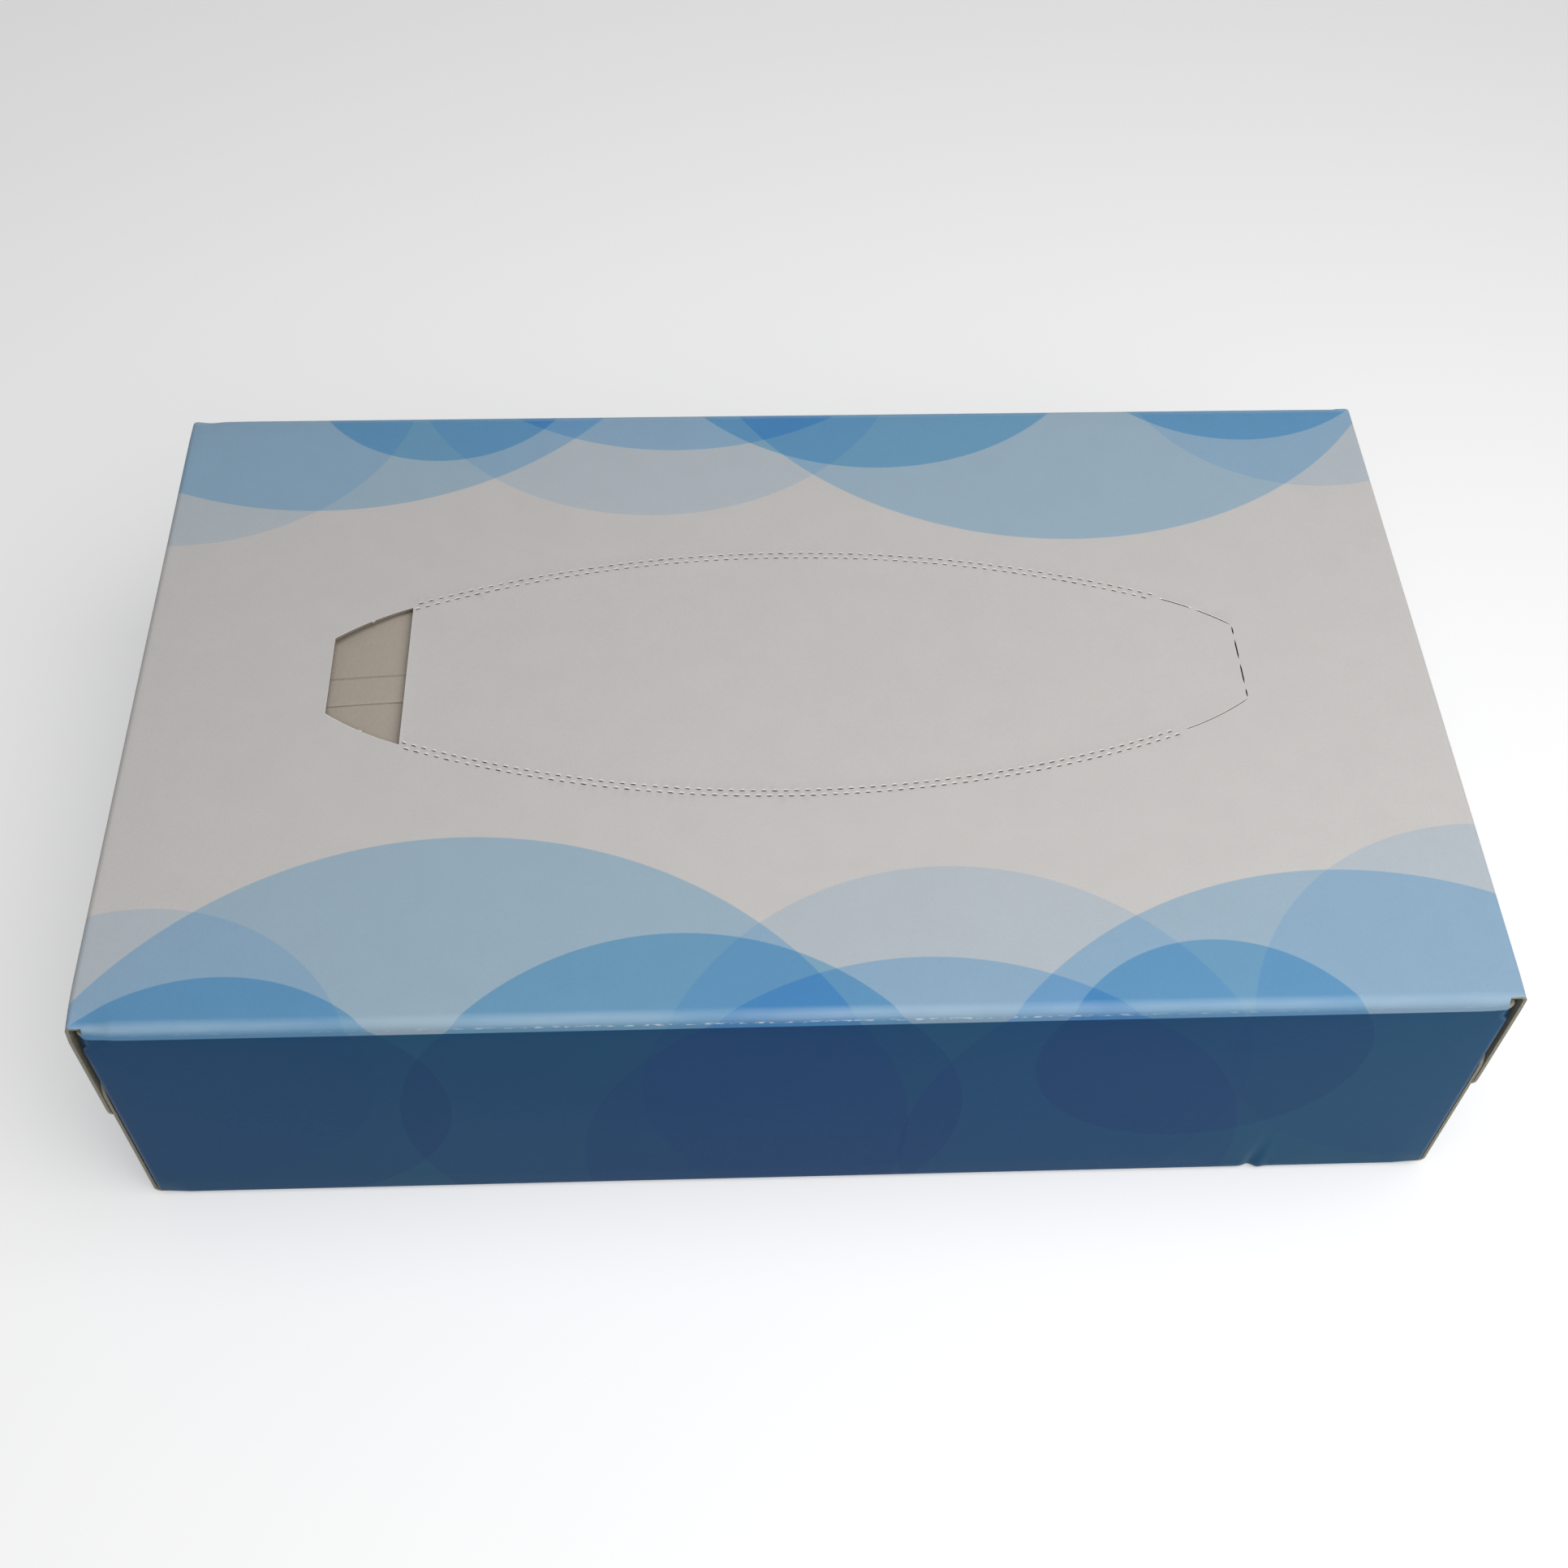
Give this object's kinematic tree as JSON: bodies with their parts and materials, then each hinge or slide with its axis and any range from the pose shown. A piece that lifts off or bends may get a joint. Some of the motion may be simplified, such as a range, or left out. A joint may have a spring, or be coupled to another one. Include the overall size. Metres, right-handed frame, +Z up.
{
  "type": "tissue box",
  "caption": "Flat paperboard tissue box, full, with a perforated tear-out panel in its top and a finger hole to start it.",
  "frame": {"origin": "centre of the underside, on the surface that the box stands on", "axes": "+X along the box, away from the finger hole; +Y from front to back; +Z up"},
  "size_m": [0.21, 0.126, 0.053],
  "materials": {
    "printed_board": "satin",
    "tissue_paper": "matte",
    "glue": "satin"
  },
  "bodies": {
    "root": {"carton": "printed_board", "tissue_pack": "tissue_paper", "first_tissue": "tissue_paper", "seam_glue": "glue", "left_end_glue": "glue", "right_end_glue": "glue"}
  },
  "joints": []
}
